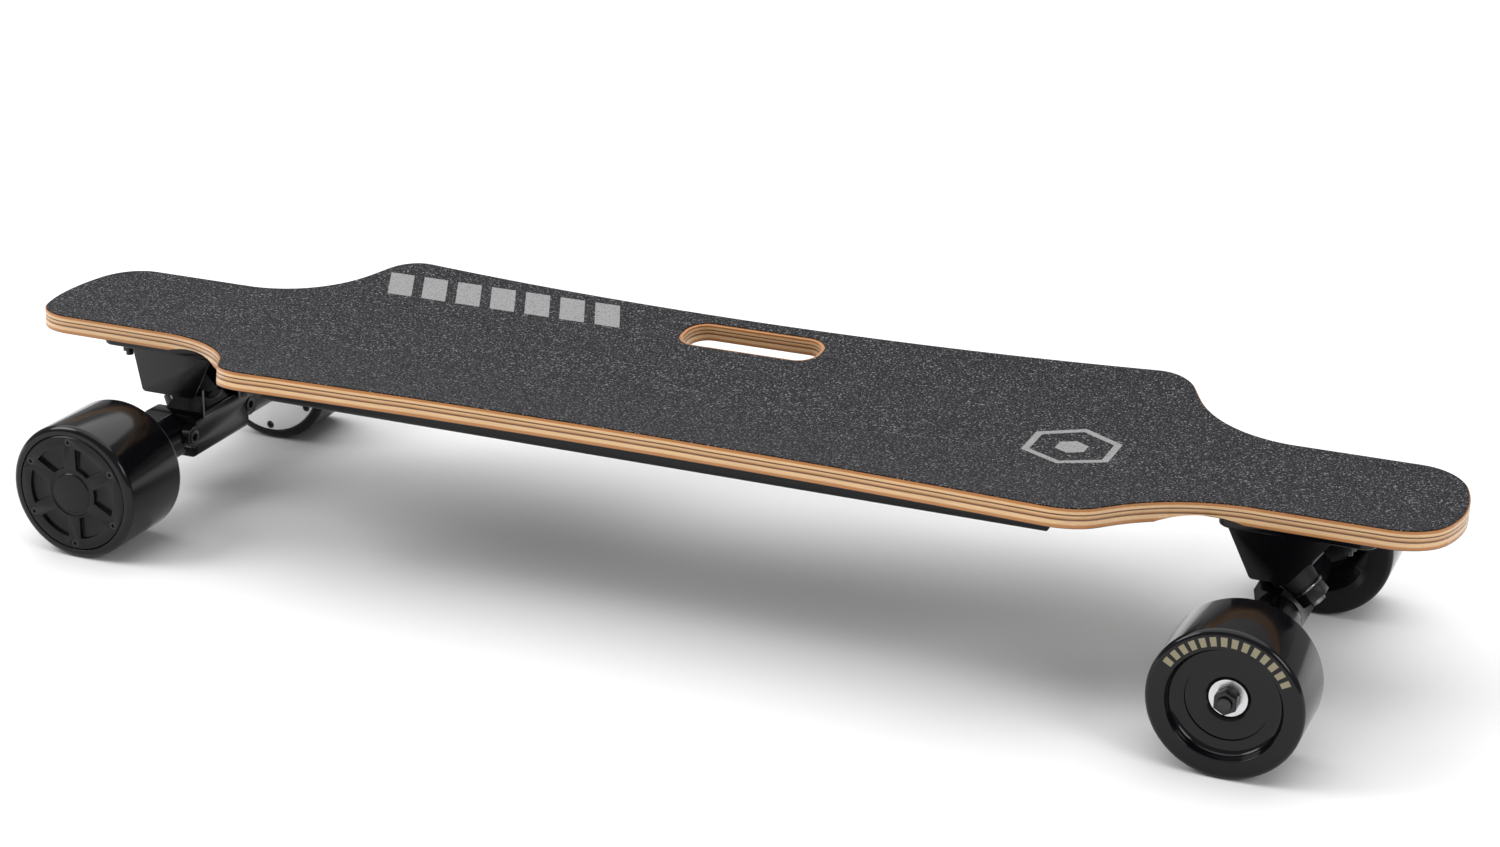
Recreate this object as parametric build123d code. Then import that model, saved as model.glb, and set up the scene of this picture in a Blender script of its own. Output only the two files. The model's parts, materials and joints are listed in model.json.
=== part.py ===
"""Electric skateboard: maple deck, two reverse-kingpin trucks, two plain front wheels,
two rear hub-motor wheels and an electronics tray under the deck.

Frame: +X is the nose, +Y the rider's left, +Z up, origin on the ground under the
middle of the deck. Millimetres.
"""

import os
from math import asin, cos, degrees, radians, sin, sqrt

from build123d import *

# ---------------------------------------------------------------- driving sizes

# Stance
wheelbase = 750.0
wheel_radius = 45.0
deck_top_height = 124.1

# Deck
deck_length = 950.0
waist_width = 220.5
side_radius = 2587.0
side_reach = 259.2
shoulder_radius = 28.1
shoulder_slope = 62.1
neck_blend_radius = 81.2
neck_width = 107.8
nose_corner_radius = 33.1
nose_corner_turn = 70.9
concave_radius = 634.0
grip_thickness = 0.8
ply_thickness = 11.2
grip_inset = 0.4
deck_edge_round = 2.0
well_reach = 332.0
well_radius = 90.0
well_depth = 5.0
well_inner = 48.0

# Carrying slot
slot_length = 94.0
slot_width = 30.0
slot_x = -2.0
slot_y = 82.3
slot_corner = 13.0
slot_edge_round = 2.6

# Truck mounting
bolt_spacing_x = 53.6
bolt_spacing_y = 41.3
bolt_shift = 11.5
bolt_radius = 2.5
bolt_clearance = 0.15
bolt_head_radius = 4.7
bolt_head_height = 2.6
bolt_end_height = 93.0
bolt_nut_flats = 8.0
bolt_nut_height = 4.6

# Baseplate and riser
flange_inboard = 38.0
flange_outboard = 55.0
flange_half_width = 30.0
flange_corner = 9.0
flange_thickness = 8.0
riser_gap = 3.4
wedge_half_width = 13.5
skirt_inner = 27.0
skirt_bottom = 71.5
skirt_top_inboard = 31.0
skirt_top_outboard = 30.0
skirt_bottom_inboard = 16.0
front_skirt_bottom_outboard = 6.0
rear_skirt_bottom_outboard = 24.0

# Steering
ring_rise = 27.0
ring_radius = 16.5
ring_half_thickness = 5.0
ring_bore = 8.0
kingpin_radius = 4.9
kingpin_clearance = 0.1
kingpin_head_radius = 8.0
kingpin_head_height = 6.0
bushing_radius = 12.0
upper_bushing_height = 14.0
lower_bushing_height = 11.5
lower_bushing_tip = 9.5
cup_washer_thickness = 1.5
kingpin_nut_flats = 17.0
kingpin_nut_height = 8.0
pivot_reach = 36.0
pivot_radius = 6.3
pivot_arm_radius = 8.5
pivot_cup_wall = 3.0
pivot_cup_depth = 8.0
pivot_cup_gap = 3.0
pivot_cup_floor = 2.7
running_gap = 0.05

# Front hanger, axle and wheels
hanger_middle_radius = 15.0
hanger_end_radius = 10.0
hanger_reach = 110.0
axle_radius = 3.97
axle_reach = 144.5
washer_thickness = 1.0
bearing_bore = 4.0
bearing_outer = 11.0
bearing_width = 7.0
bearing_spacing = 10.0
axle_nut_flats = 12.5
axle_nut_height = 7.0
front_wheel_inner = 95.7
front_wheel_outer = 146.3
front_lip = 3.0
front_dish_radius = 33.4
front_ring_radius = 24.0
front_dish_depth = 7.5
front_back_recess = 17.0

# Rear hanger, hub motors and wheels
clamp_half_width = 32.0
clamp_inboard = 19.0
clamp_outboard = 22.0
clamp_bottom = 31.0
clamp_top = 60.0
cheek_inner = 21.0
cheek_outer = 23.2
cheek_top = 76.0
rear_arm_radius = 15.0
rear_arm_reach = 86.0
clamp_screw_y = 35.0
clamp_screw_z = 47.0
clamp_screw_radius = 3.0
clamp_screw_head = 5.0
clamp_screw_head_height = 5.0
shaft_radius = 6.0
shaft_inner = 20.0
rear_wheel_inner = 89.3
rear_wheel_outer = 148.45
sleeve_inner_radius = 39.0
sleeve_lip = 4.0
can_wall = 2.8
cover_thickness = 6.0
cover_spigot = 3.0
motor_bearing_outer = 14.0
motor_bearing_race = 8.5
motor_bearing_width = 8.0
end_bearing_width = 5.5
cover_cap = 6.5
magnet_thickness = 1.8
magnet_count = 28
air_gap = 0.5
tooth_count = 24
stack_half_length = 16.0
pocket_count = 6
pocket_inner = 17.0
pocket_outer = 31.0
pocket_depth = 3.0
spoke_width = 9.0
hub_disc_radius = 12.6
cover_screw_ring = 34.6
cover_screw_radius = 1.5
cover_screw_head = 2.7

# Electronics tray
tray_rear = -290.0
tray_front = 242.0
tray_end_slant = 10.0
tray_half_width = 52.0
tray_bottom = 88.0
tray_wall = 2.5
tray_edge_round = 5.0
tray_flange_reach = 61.0
tray_flange_end = 12.0
tray_flange_thickness = 3.0
gasket_thickness = 1.0
tray_screw_y = 57.4
tray_screw_radius = 1.5
tray_screw_head = 2.7
tray_screw_bite = 7.0
tray_screws_per_side = 8
cell_radius = 9.2
cell_length = 65.0
cell_gap = 0.3
cell_count = 20
cell_start = -150.0
foam_thickness = 1.0
board_thickness = 1.6
button_x = 120.0
socket_x = 60.0
side_fitting_z = 99.5
button_radius = 7.0
button_proud = 2.5
button_length = 8.0
bezel_radius = 10.0
bezel_proud = 1.6
socket_bore = 2.75
socket_depth = 10.0
socket_barrel = 5.5
socket_flange = 8.0
gland_y = 24.0
gland_radius = 7.5
gland_bore = 3.2

# ---------------------------------------------------------------- derived places

axle_x = wheelbase / 2
underside_radius = concave_radius + grip_thickness + ply_thickness
concave_axis_z = deck_top_height + concave_radius
deck_underside = concave_axis_z - underside_radius
flange_top = deck_underside - riser_gap
flange_bottom = flange_top - flange_thickness
steer_angle = 45.0

kingpin_axis = Vector(sin(radians(steer_angle)), 0, -cos(radians(steer_angle)))
steer_axis = Vector(cos(radians(steer_angle)), 0, sin(radians(steer_angle)))
ring_centre = Vector(0, 0, wheel_radius + ring_rise)
upper_seat = -(ring_half_thickness + upper_bushing_height)
lower_seat = ring_half_thickness + lower_bushing_height
head_seat = upper_seat - cup_washer_thickness - 8.5

mount_holes = [
    (bolt_shift + sx * bolt_spacing_x / 2, sy * bolt_spacing_y / 2)
    for sx in (-1, 1)
    for sy in (-1, 1)
]

nodes = {}


# ---------------------------------------------------------------- small helpers


def rod(plane, radius, length):
    """Round bar standing on a plane."""
    return plane * Cylinder(radius, length, align=(Align.CENTER, Align.CENTER, Align.MIN))


def tube(plane, outer, inner, length):
    return rod(plane, outer, length) - rod(plane, inner, length)


def at(x, y, z, direction=(0, 0, 1)):
    """Plane at a point with its normal along a direction."""
    return Plane(origin=(x, y, z), z_dir=direction)


def on_kingpin(distance):
    """Plane square to the kingpin, at a distance below the ring's middle."""
    return Plane(ring_centre + kingpin_axis * distance, x_dir=(0, 1, 0), z_dir=kingpin_axis)


def on_pivot(distance):
    """Plane square to the steering axis, at a distance from the ring's middle."""
    return Plane(ring_centre + steer_axis * distance, x_dir=(0, 1, 0), z_dir=steer_axis)


def hexagon(plane, flats, height):
    return extrude(plane * RegularPolygon(flats / 2, 6, major_radius=False), height)


def slab(x0, x1, y0, y1, z0, z1):
    """Box between two corners."""
    box = Box(x1 - x0, y1 - y0, z1 - z0, align=(Align.MIN, Align.MIN, Align.MIN))
    return Pos(x0, y0, z0) * box


def side_profile(points, half_width):
    """Plate cut to an outline in X and Z, centred on Y = 0."""
    face = make_face(Polyline(*[(x, 0, z) for x, z in points], close=True))
    return extrude(face, half_width, dir=(0, 1, 0), both=True)


def concave_shell(outer, inner):
    """Long shell between two radii about the deck's concave axis."""
    length = deck_length + 40
    plane = Plane(origin=(-length / 2, 0, concave_axis_z), z_dir=(1, 0, 0))
    return tube(plane, outer, inner, length)


def turned(profile, y_place):
    """Solid turned about the axle from (radius, width) points; width runs along +Y."""
    face = make_face(Polyline(*[(r, 0, w) for r, w in profile], close=True))
    solid = revolve(face, Axis.Z)
    return Pos(0, y_place, wheel_radius) * Rot(-90, 0, 0) * solid


def mirrored(shape):
    """The same piece on the other side of the board."""
    return mirror(shape, about=Plane.XZ)


def front_place(shape):
    return Pos(axle_x, 0, 0) * shape


def rear_place(shape):
    return Pos(-axle_x, 0, 0) * Rot(0, 0, 180) * shape


def keep(name, *shapes):
    """Store a node as its separate solids."""
    nodes[name] = [solid for shape in shapes for solid in shape.solids()]


# ---------------------------------------------------------------- deck and grip


def deck_outline():
    """Quarter outline walked from the waist to the nose tip, then mirrored twice."""
    spread = asin(side_reach / side_radius)
    slope = radians(shoulder_slope)
    turn = radians(nose_corner_turn)
    side_end_y = waist_width / 2 + side_radius * (1 - cos(spread))
    slope_start_y = side_end_y - shoulder_radius * (cos(spread) - cos(slope))
    slope_drop = slope_start_y - neck_width / 2 - neck_blend_radius * (1 - cos(slope))
    slope_length = slope_drop / sin(slope)
    tip_radius = (neck_width / 2 - nose_corner_radius * (1 - cos(turn))) / cos(turn)
    reach = (
        side_reach
        + shoulder_radius * (sin(spread) + sin(slope))
        + slope_length * cos(slope)
        + neck_blend_radius * sin(slope)
        + nose_corner_radius * sin(turn)
        + tip_radius * (1 - sin(turn))
    )
    neck_length = deck_length / 2 - reach
    steps = [
        (side_radius, degrees(spread)),
        (shoulder_radius, -(degrees(spread) + shoulder_slope)),
        (slope_length, 0),
        (neck_blend_radius, shoulder_slope),
        (neck_length, 0),
        (nose_corner_radius, -nose_corner_turn),
        (tip_radius, nose_corner_turn - 90),
    ]
    start, heading, edges = Vector(0, waist_width / 2), Vector(1, 0), []
    for size, bend in steps:
        if bend:
            edge = JernArc(start, heading, size, bend)
        else:
            edge = Line(start, start + heading * size)
        edges.append(edge)
        start, heading = edge @ 1, edge % 1
    quarter = Curve() + edges
    half = quarter + mirror(quarter, about=Plane.YZ)
    return make_face(half + mirror(half, about=Plane.XZ))


def slot_outline(grow=0.0):
    shape = RectangleRounded(slot_length + 2 * grow, slot_width + 2 * grow, slot_corner + grow)
    return Pos(slot_x, slot_y) * shape


def upright(face, low=60.0, height=120.0):
    """Tall prism through the deck's whole height."""
    return extrude(Pos(0, 0, low) * face, height)


def truck_bolt_places():
    front = [(axle_x + x, y) for x, y in mount_holes]
    return front + [(-x, -y) for x, y in front]


def tray_screw_places():
    span = tray_front - tray_rear - 24
    step = span / (tray_screws_per_side - 1)
    xs = [tray_rear + 12 + i * step for i in range(tray_screws_per_side)]
    return [(x, side * tray_screw_y) for x in xs for side in (-1, 1)]


def underside_at(y):
    return concave_axis_z - sqrt(underside_radius**2 - y**2)


def make_deck():
    wood_top = concave_radius + grip_thickness
    outline = deck_outline()
    deck = upright(outline) & concave_shell(underside_radius, wood_top)
    rim = deck.faces().sort_by(Axis.Z)[0].outer_wire().edges()
    deck = fillet(rim, deck_edge_round)
    for x in (-well_reach, well_reach):
        for side in (-1, 1):
            y0 = well_inner if side > 0 else -well_inner - 120
            height = underside_at(well_inner) + well_depth - well_radius
            deck -= rod(at(x, y0, height, (0, 1, 0)), well_radius, 120)
    deck -= upright(slot_outline())
    for x, y in truck_bolt_places():
        top = underside_at(y) + ply_thickness - bolt_head_height - 0.4
        deck -= rod(at(x, y, 90), bolt_radius + bolt_clearance, 60)
        sink = Cone(bolt_radius + bolt_clearance, bolt_head_radius + bolt_clearance,
                    bolt_head_height, align=(Align.CENTER, Align.CENTER, Align.MIN))
        deck -= Pos(x, y, top) * sink
        deck -= rod(at(x, y, top + bolt_head_height), bolt_head_radius + bolt_clearance, 3)
    for x, y in tray_screw_places():
        deck -= rod(at(x, y, 100), tray_screw_radius + 0.05,
                    underside_at(y) + tray_screw_bite + 0.5 - 100)
    keep("deck", deck)

    sheet = offset(outline, -grip_inset, kind=Kind.INTERSECTION)
    grip = upright(sheet) & concave_shell(wood_top, concave_radius)
    keep("grip_tape", grip - upright(slot_outline(slot_edge_round)))


# ---------------------------------------------------------------- truck, board side


def skirts(bottom_outboard):
    """Side walls cast under the baseplate, outside the mounting nuts and the hanger."""
    outline = make_face(Polyline(
        (-skirt_top_inboard, 0, flange_bottom + 1), (skirt_top_outboard, 0, flange_bottom + 1),
        (bottom_outboard, 0, skirt_bottom), (-skirt_bottom_inboard, 0, skirt_bottom),
        close=True))
    wall = extrude(outline, flange_half_width - 1 - skirt_inner, dir=(0, 1, 0))
    wall = fillet(wall.edges().filter_by(Axis.Y).group_by(Axis.Z)[0], 3.0)
    wall = Pos(0, skirt_inner, 0) * wall
    return wall + mirrored(wall)


def make_truck_board_side():
    """Riser, baseplate, bolts, kingpin, cups and bushings for both trucks."""
    plate = Pos((flange_outboard - flange_inboard) / 2, 0) * RectangleRounded(
        flange_outboard + flange_inboard, 2 * flange_half_width, flange_corner)
    holes = [rod(at(x, y, 80), bolt_radius + bolt_clearance, 60) for x, y in mount_holes]

    blank = extrude(Pos(0, 0, flange_top) * plate, riser_gap + 3)
    under = Plane(origin=(-200, 0, concave_axis_z), z_dir=(1, 0, 0))
    riser = blank - rod(under, underside_radius, 400)
    for hole in holes:
        riser -= hole

    cup_outer = pivot_radius + running_gap + pivot_cup_wall
    cup_start = pivot_reach - pivot_cup_depth
    boss_face = upper_seat - cup_washer_thickness
    low, mouth = on_kingpin(boss_face).origin, on_pivot(cup_start).origin
    boss = wedge_half_width
    housing = cup_outer + 2.2
    steer, pin = steer_axis, kingpin_axis
    corners = [
        low - steer * boss,
        low + steer * boss,
        mouth - pin * housing,
        mouth + pin * housing,
        mouth + pin * housing + steer * 13,
    ]
    outline = [(-flange_inboard + 2, flange_bottom + 2), (-flange_inboard + 4, flange_bottom)]
    outline += [(c.X, c.Z) for c in corners]
    outline += [(flange_outboard - 6, flange_bottom), (flange_outboard - 6, flange_bottom + 2)]
    base = extrude(Pos(0, 0, flange_bottom) * plate, flange_thickness)
    base = fillet(base.edges().filter_by(Plane.XY).group_by(Axis.Z)[0], 1.5)
    base += side_profile(outline, wedge_half_width)
    base -= rod(on_kingpin(head_seat - 20), kingpin_radius + kingpin_clearance, 60)
    base -= rod(on_kingpin(head_seat - 8), kingpin_head_radius + 0.3, 8)
    head_x = on_kingpin(head_seat).origin.X
    base -= slab(head_x - 11.5, head_x + 4.5, -8.6, 8.6, flange_bottom - 1, flange_top + 1)
    base -= rod(on_pivot(cup_start), cup_outer, pivot_cup_depth + pivot_cup_floor + 0.3)
    for hole in holes:
        base -= hole

    cup = rod(on_pivot(cup_start), cup_outer, pivot_cup_depth + pivot_cup_floor + 0.3)
    cup -= rod(on_pivot(cup_start), pivot_radius + running_gap, pivot_cup_depth + 0.3)

    stem_start = head_seat
    nut_start = lower_seat + cup_washer_thickness
    kingpin = rod(on_kingpin(stem_start), kingpin_radius, nut_start + kingpin_nut_height + 2.5
                  - stem_start)
    kingpin += rod(on_kingpin(stem_start - kingpin_head_height), kingpin_head_radius,
                   kingpin_head_height)
    nut = hexagon(on_kingpin(nut_start), kingpin_nut_flats, kingpin_nut_height)
    nut -= rod(on_kingpin(nut_start - 1), kingpin_radius, kingpin_nut_height + 2)
    bore = kingpin_radius + kingpin_clearance
    upper_washer = tube(on_kingpin(upper_seat - cup_washer_thickness), bushing_radius + 1,
                        bore, cup_washer_thickness)
    lower_washer = tube(on_kingpin(lower_seat), lower_bushing_tip + 1, bore,
                        cup_washer_thickness)
    upper = rod(on_kingpin(upper_seat), bushing_radius, upper_bushing_height)
    upper = fillet(upper.edges().filter_by(GeomType.CIRCLE), 1.5)
    upper -= rod(on_kingpin(upper_seat - 1), bore, upper_bushing_height + 2)
    lower = on_kingpin(ring_half_thickness) * Cone(
        bushing_radius - 0.5, lower_bushing_tip, lower_bushing_height,
        align=(Align.CENTER, Align.CENTER, Align.MIN))
    lower -= rod(on_kingpin(ring_half_thickness - 1), bore, lower_bushing_height + 2)

    bolts, nuts = [], []
    for x, y in mount_holes:
        head = underside_at(y) + ply_thickness - bolt_head_height - 0.4
        bolt = rod(at(x, y, bolt_end_height), bolt_radius, head - bolt_end_height)
        cone = Cone(bolt_radius, bolt_head_radius, bolt_head_height,
                    align=(Align.CENTER, Align.CENTER, Align.MIN))
        bolt += Pos(x, y, head) * cone
        bolt -= hexagon(at(x, y, head + bolt_head_height - 1.6), 3.0, 3)
        bolts.append(bolt)
        nut_low = flange_bottom - bolt_nut_height
        square = hexagon(at(x, y, nut_low), bolt_nut_flats, bolt_nut_height)
        nuts.append(square - rod(at(x, y, nut_low - 1), bolt_radius, bolt_nut_height + 2))

    trucks = (("front", front_place, front_skirt_bottom_outboard),
              ("rear", rear_place, rear_skirt_bottom_outboard))
    for side, place, reach in trucks:
        keep(f"{side}_baseplate", place(base + skirts(reach)))
        keep(f"{side}_upper_bushing", place(upper))
        keep(f"{side}_lower_bushing", place(lower))
    both = (front_place, rear_place)
    keep("riser_pads", *[place(riser) for place in both])
    keep("pivot_cups", *[place(cup) for place in both])
    keep("kingpins", *[place(kingpin) for place in both])
    keep("kingpin_nuts", *[place(nut) for place in both])
    keep("bushing_washers", *[place(w) for place in both for w in (upper_washer, lower_washer)])
    keep("truck_bolts", *[place(b) for place in both for b in bolts])
    keep("truck_nuts", *[place(n) for place in both for n in nuts])


# ---------------------------------------------------------------- hangers


def ring_and_pivot():
    """Bushing ring, pivot arm and nub shared by both hangers."""
    ring = rod(on_kingpin(-ring_half_thickness), ring_radius, 2 * ring_half_thickness)
    arm_start = bushing_radius + 0.7
    arm_end = pivot_reach - pivot_cup_depth - pivot_cup_gap
    arm = on_pivot(arm_start) * Cone(pivot_arm_radius, pivot_radius, arm_end - arm_start,
                                     align=(Align.CENTER, Align.CENTER, Align.MIN))
    nub = rod(on_pivot(arm_end), pivot_radius, pivot_reach - arm_end)
    nub = fillet(nub.edges().filter_by(GeomType.CIRCLE).sort_by(Axis.Z)[-1], 2.0)
    return ring + arm + nub


def ring_web():
    """Plate that carries the ring down to the axle housing."""
    rim = ring_centre - steer_axis * (ring_radius - 4)
    back = rim - kingpin_axis * ring_half_thickness
    face = rim + kingpin_axis * ring_half_thickness
    return side_profile([
        (back.X, back.Z), (face.X, face.Z), (hanger_middle_radius - 6, wheel_radius + 4),
        (0, wheel_radius - 6), (-hanger_middle_radius + 1, wheel_radius + 2),
        (-hanger_middle_radius - 1, back.Z - 8),
    ], ring_radius - 2)


def kingpin_room(room):
    """Space for the lower bushing, and for the nut as the hanger tilts."""
    pocket = rod(on_kingpin(ring_half_thickness), bushing_radius + 0.5, 4.0)
    sweep = on_kingpin(ring_half_thickness + 4.0) * Box(
        40, 2 * bushing_radius + 1, room, align=(Align.CENTER, Align.CENTER, Align.MIN))
    return pocket + sweep


def make_front_hanger():
    middle = 25.0
    body = rod(at(0, -middle, wheel_radius, (0, 1, 0)), hanger_middle_radius, 2 * middle)
    for side in (-1, 1):
        taper = Cone(hanger_middle_radius, hanger_end_radius, hanger_reach - middle,
                     align=(Align.CENTER, Align.CENTER, Align.MIN))
        body += at(0, side * middle, wheel_radius, (0, side, 0)) * taper
    body += ring_web()
    body += ring_and_pivot()
    body -= kingpin_room(60)
    body -= rod(on_kingpin(-20), ring_bore, 40)
    body -= rod(at(0, -200, wheel_radius, (0, 1, 0)), axle_radius + kingpin_clearance, 400)
    keep("front_hanger", front_place(body))

    axle = rod(at(0, -axle_reach, wheel_radius, (0, 1, 0)), axle_radius, 2 * axle_reach)
    keep("front_axle", front_place(axle))
    first = hanger_reach + washer_thickness
    second = first + bearing_width + bearing_spacing
    nut_place = second + bearing_width + washer_thickness
    nuts, washers, spacers, races = [], [], [], []
    for side in (-1, 1):
        def beside(y):
            return at(0, side * y, wheel_radius, (0, side, 0))
        nut = hexagon(beside(nut_place), axle_nut_flats, axle_nut_height)
        nuts.append(nut - rod(beside(nut_place - 1), axle_radius, axle_nut_height + 2))
        for y in (hanger_reach, second + bearing_width):
            washers.append(tube(beside(y), 6.0, bearing_bore + 0.05, washer_thickness))
        spacers.append(tube(beside(first + bearing_width), 5.4, bearing_bore + 0.05,
                            bearing_spacing))
        for y in (first, second):
            races.append(tube(beside(y), 6.0, bearing_bore, bearing_width))
    keep("front_axle_nuts", *[front_place(n) for n in nuts])
    keep("front_speed_washers", *[front_place(w) for w in washers])
    keep("front_bearing_spacers", *[front_place(s) for s in spacers])
    keep("front_inner_races", *[front_place(r) for r in races])


def make_rear_hanger():
    half = clamp_half_width
    body = slab(-clamp_inboard, clamp_outboard, -half, half, clamp_bottom, clamp_top)
    body = fillet(body.edges().filter_by(Axis.Y), 5.0)
    for side in (-1, 1):
        y0, y1 = sorted((side * cheek_inner, side * cheek_outer))
        cheek = make_face(Polyline(
            (-clamp_inboard, 0, clamp_top - 8), (-clamp_inboard, 0, cheek_top),
            (-2, 0, cheek_top), (clamp_outboard - 6, 0, clamp_top - 8), close=True))
        body += Pos(0, y0, 0) * extrude(cheek, y1 - y0, dir=(0, 1, 0))
        arm = rod(at(0, side * (half - 4), wheel_radius, (0, side, 0)), rear_arm_radius,
                  rear_arm_reach - half + 4)
        end = arm.edges().filter_by(GeomType.CIRCLE).sort_by(Axis.Y)[-1 if side > 0 else 0]
        body += fillet(end, 1.5)
    body += ring_web()
    body += ring_and_pivot()
    body -= kingpin_room(60)
    body -= rod(on_kingpin(-20), ring_bore, 40)
    screws, shafts = [], []
    seat = shaft_radius + 0.05
    for side in (-1, 1):
        out = (0, side, 0)
        body -= rod(at(0, side * (shaft_inner - 0.5), wheel_radius, out), seat, 100)
        place = at(-clamp_inboard - 0.5, side * clamp_screw_y, clamp_screw_z, (1, 0, 0))
        pad = rod(at(-clamp_inboard, side * clamp_screw_y, clamp_screw_z, (1, 0, 0)),
                  clamp_screw_head + 2.5, clamp_inboard - 5)
        pad -= rod(at(0, side * (shaft_inner - 0.5), wheel_radius, out), seat, 100)
        body += pad
        body -= rod(place, clamp_screw_head + 0.2, clamp_screw_head_height + 0.5)
        body -= rod(place, clamp_screw_radius + 0.1, clamp_inboard - seat + 3)
        reach = clamp_inboard - sqrt(seat**2 - (clamp_screw_z - wheel_radius)**2)
        screw = rod(place, clamp_screw_head, clamp_screw_head_height + 0.4)
        screw += rod(place, clamp_screw_radius, reach - clamp_screw_radius * 0.6)
        screw -= hexagon(place, 5.0, 3.2)
        screws.append(screw)
        length = rear_wheel_outer - cover_cap - 0.5 - shaft_inner
        shafts.append(rod(at(0, side * shaft_inner, wheel_radius, out), shaft_radius, length))
    keep("rear_hanger", rear_place(body))
    keep("shaft_clamp_screws", *[rear_place(s) for s in screws])
    keep("motor_shafts", *[rear_place(s) for s in shafts])


# ---------------------------------------------------------------- front wheels


def make_front_wheels():
    width = front_wheel_outer - front_wheel_inner
    face, back = width, 0.0
    core_back = hanger_reach + washer_thickness - front_wheel_inner
    seat_far = core_back + 2 * bearing_width + bearing_spacing
    core_front = face - front_dish_depth - 1.2
    tread = wheel_radius
    lip = front_lip
    tyre = turned([
        (front_ring_radius, core_back), (front_back_recess, core_back),
        (front_back_recess, core_back - 4), (front_dish_radius - 4, back + 1.5),
        (front_dish_radius, back), (tread - lip, back), (tread - lip * 0.3, back + lip * 0.3),
        (tread, back + lip), (tread, face - lip), (tread - lip * 0.3, face - lip * 0.3),
        (tread - lip, face), (front_dish_radius, face),
        (front_dish_radius - 2, face - 0.7 * front_dish_depth),
        (front_ring_radius, face - front_dish_depth),
    ], front_wheel_inner)
    core = turned([
        (front_ring_radius - 0.02, core_back + 0.02), (front_ring_radius - 0.02, core_front),
        (front_ring_radius - 3, core_front - 1.2), (bearing_outer + 4, core_front - 1.2),
        (bearing_outer + 2.5, seat_far + 1.5), (bearing_outer + 0.02, seat_far),
        (bearing_outer + 0.02, seat_far - bearing_width), (bearing_outer - 1.5,
                                                           seat_far - bearing_width),
        (bearing_outer - 1.5, core_back + bearing_width),
        (bearing_outer + 0.02, core_back + bearing_width), (bearing_outer + 0.02,
                                                            core_back + 0.02),
    ], front_wheel_inner)
    bearings = []
    for start in (core_back, seat_far - bearing_width):
        place = at(0, front_wheel_inner + start, wheel_radius, (0, 1, 0))
        bearings.append(tube(place, bearing_outer, 6.0 + running_gap, bearing_width))
    for side, flip in (("left", False), ("right", True)):
        for part, shapes in (("tyre", [tyre]), ("core", [core]), ("bearings", bearings)):
            placed = [front_place(mirrored(s) if flip else s) for s in shapes]
            keep(f"front_{side}_{part}", *placed)


# ---------------------------------------------------------------- rear hub motors


def around(count, shape, centre_y):
    """Copies spaced evenly round the axle."""
    axis = Axis((0, centre_y, wheel_radius), (0, 1, 0))
    return [shape.rotate(axis, 360 * i / count) for i in range(count)]


def make_stators():
    can_inner = sleeve_inner_radius - can_wall
    tooth_tip = can_inner - magnet_thickness - air_gap
    middle = (rear_wheel_inner + rear_wheel_outer) / 2
    low = middle - stack_half_length
    place = at(0, low, wheel_radius, (0, 1, 0))
    stack = tube(place, 20.0, shaft_radius + 0.05, 2 * stack_half_length)
    tooth = slab(-1.3, 1.3, low, low + 2 * stack_half_length,
                 wheel_radius + 19, wheel_radius + tooth_tip - 0.6)
    shoe = slab(-3.0, 3.0, low, low + 2 * stack_half_length,
                wheel_radius + tooth_tip - 2.0, wheel_radius + tooth_tip - 0.2)
    for piece in around(tooth_count, tooth + shoe, middle):
        stack += piece
    stack &= rod(place, tooth_tip, 2 * stack_half_length)
    coil = slab(-2.0, 2.0, low - 2, low + 2 * stack_half_length + 2,
                wheel_radius + 21.5, wheel_radius + tooth_tip - 2.4)
    coil = fillet(coil.edges().filter_by(Axis.Z), 0.8)
    coil -= slab(-1.35, 1.35, low - 0.05, low + 2 * stack_half_length + 0.05, 0, 200)
    coils = around(tooth_count, coil, middle)
    keep("motor_stators", rear_place(stack), rear_place(mirrored(stack)))
    keep("motor_windings", *[rear_place(c) for c in coils],
         *[rear_place(mirrored(c)) for c in coils])


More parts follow.
